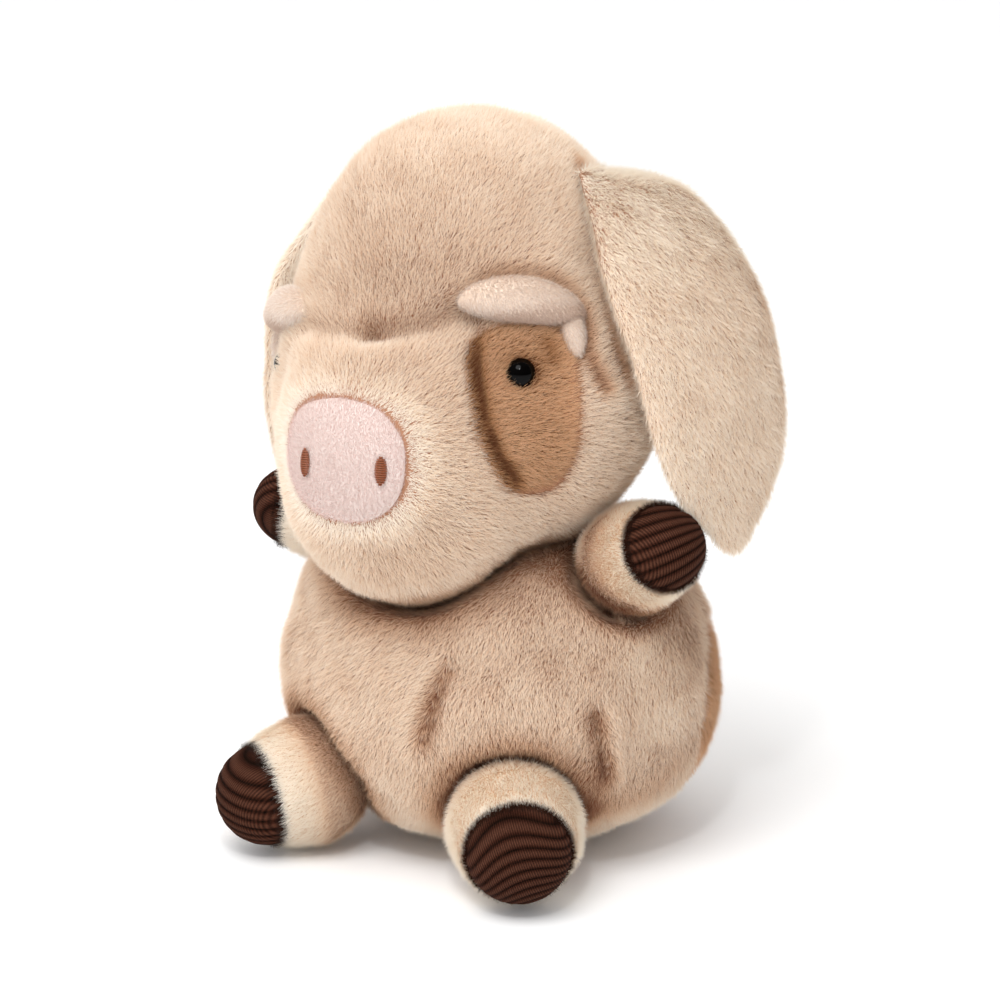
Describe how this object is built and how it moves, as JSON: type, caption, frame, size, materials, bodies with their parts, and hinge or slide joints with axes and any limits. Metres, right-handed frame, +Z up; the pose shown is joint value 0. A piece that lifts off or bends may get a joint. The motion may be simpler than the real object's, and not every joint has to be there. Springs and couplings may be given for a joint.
{
  "type": "plush pig",
  "caption": "Sitting plush pig with long floppy ears, a round snout with a short-pile nose pad, corduroy hooves and a weighted seat.",
  "frame": {"origin": "on the floor under the middle of the body's flat seat", "axes": "+Z up, the pig looks along -Y, +X toward its left side"},
  "size_m": [0.2246, 0.2136, 0.2916],
  "materials": {
    "long_pile_plush": "long soft pile",
    "tan_plush": "long soft pile",
    "pink_short_pile": "short brushed pile",
    "cream_short_pile": "short brushed pile",
    "brown_corduroy": "ribbed cord pile",
    "satin_stitch_thread": "silky thread",
    "polyester_filling": "loose white fibre",
    "pellet_bag_cloth": "plain woven bag of pellets",
    "black_bead": "glossy black",
    "lock_washer": "plain moulded"
  },
  "bodies": {
    "body": {"body_shell": "long_pile_plush", "body_filling": "polyester_filling", "pellet_bag": "pellet_bag_cloth", "back_patch": "tan_plush"},
    "head": {"crown_shell": "long_pile_plush", "crown_filling": "polyester_filling", "muzzle_shell": "long_pile_plush", "muzzle_filling": "polyester_filling", "nose_pad": "pink_short_pile", "nostril_left": "satin_stitch_thread", "nostril_right": "satin_stitch_thread", "left_eye_patch": "tan_plush", "eye_left": "black_bead", "eye_right": "black_bead", "eye_washer_left": "lock_washer", "eye_washer_right": "lock_washer", "eyelid_left": "cream_short_pile", "eyelid_right": "cream_short_pile"},
    "ear_left": {"ear_shell_left": "long_pile_plush", "ear_wadding_left": "polyester_filling"},
    "ear_right": {"ear_shell_right": "long_pile_plush", "ear_wadding_right": "polyester_filling"},
    "arm_left": {"arm_left_shell": "long_pile_plush", "arm_left_hoof": "brown_corduroy", "arm_left_filling": "polyester_filling"},
    "arm_right": {"arm_right_shell": "long_pile_plush", "arm_right_hoof": "brown_corduroy", "arm_right_filling": "polyester_filling"},
    "leg_left": {"leg_left_shell": "long_pile_plush", "leg_left_hoof": "brown_corduroy", "leg_left_filling": "polyester_filling"},
    "leg_right": {"leg_right_shell": "long_pile_plush", "leg_right_hoof": "brown_corduroy", "leg_right_filling": "polyester_filling"},
    "tail": {"tail_roll": "long_pile_plush"}
  },
  "joints": [
    {"name": "head_nod", "type": "hinge", "parent": "body", "child": "head", "pos_m": [0, 0.014, 0.112], "axis": [-0.9925, 0, -0.1219], "range_deg": [0, 12]},
    {"name": "ear_left_lift", "type": "hinge", "parent": "head", "child": "ear_left", "pos_m": [0.03674, 0.01628, 0.27053], "axis": [-0.1724, -0.9848, -0.0212], "range_deg": [0, 100]},
    {"name": "ear_right_lift", "type": "hinge", "parent": "head", "child": "ear_right", "pos_m": [-0.074, 0.01628, 0.25694], "axis": [0.2401, 0.9703, 0.0295], "range_deg": [0, 100]},
    {"name": "arm_left_swing", "type": "hinge", "parent": "body", "child": "arm_left", "pos_m": [0.074, -0.015, 0.128], "axis": [0, 0, -1], "range_deg": [0, 25], "stiffness_Nm_per_rad": 0.05},
    {"name": "arm_right_swing", "type": "hinge", "parent": "body", "child": "arm_right", "pos_m": [-0.074, -0.006, 0.118], "axis": [0, 0, 1], "range_deg": [0, 25], "stiffness_Nm_per_rad": 0.05},
    {"name": "leg_left_lift", "type": "hinge", "parent": "body", "child": "leg_left", "pos_m": [0.05286, -0.06528, 0.0275], "axis": [-0.7771, -0.6293, 0], "range_deg": [0, 20]},
    {"name": "leg_right_lift", "type": "hinge", "parent": "body", "child": "leg_right", "pos_m": [-0.04575, -0.07045, 0.0275], "axis": [-0.8387, 0.5446, 0], "range_deg": [0, 20]},
    {"name": "tail_wag", "type": "hinge", "parent": "body", "child": "tail", "pos_m": [0, 0.08373, 0.044], "axis": [0, 0, 1], "range_deg": [-25, 25], "stiffness_Nm_per_rad": 0.01}
  ]
}
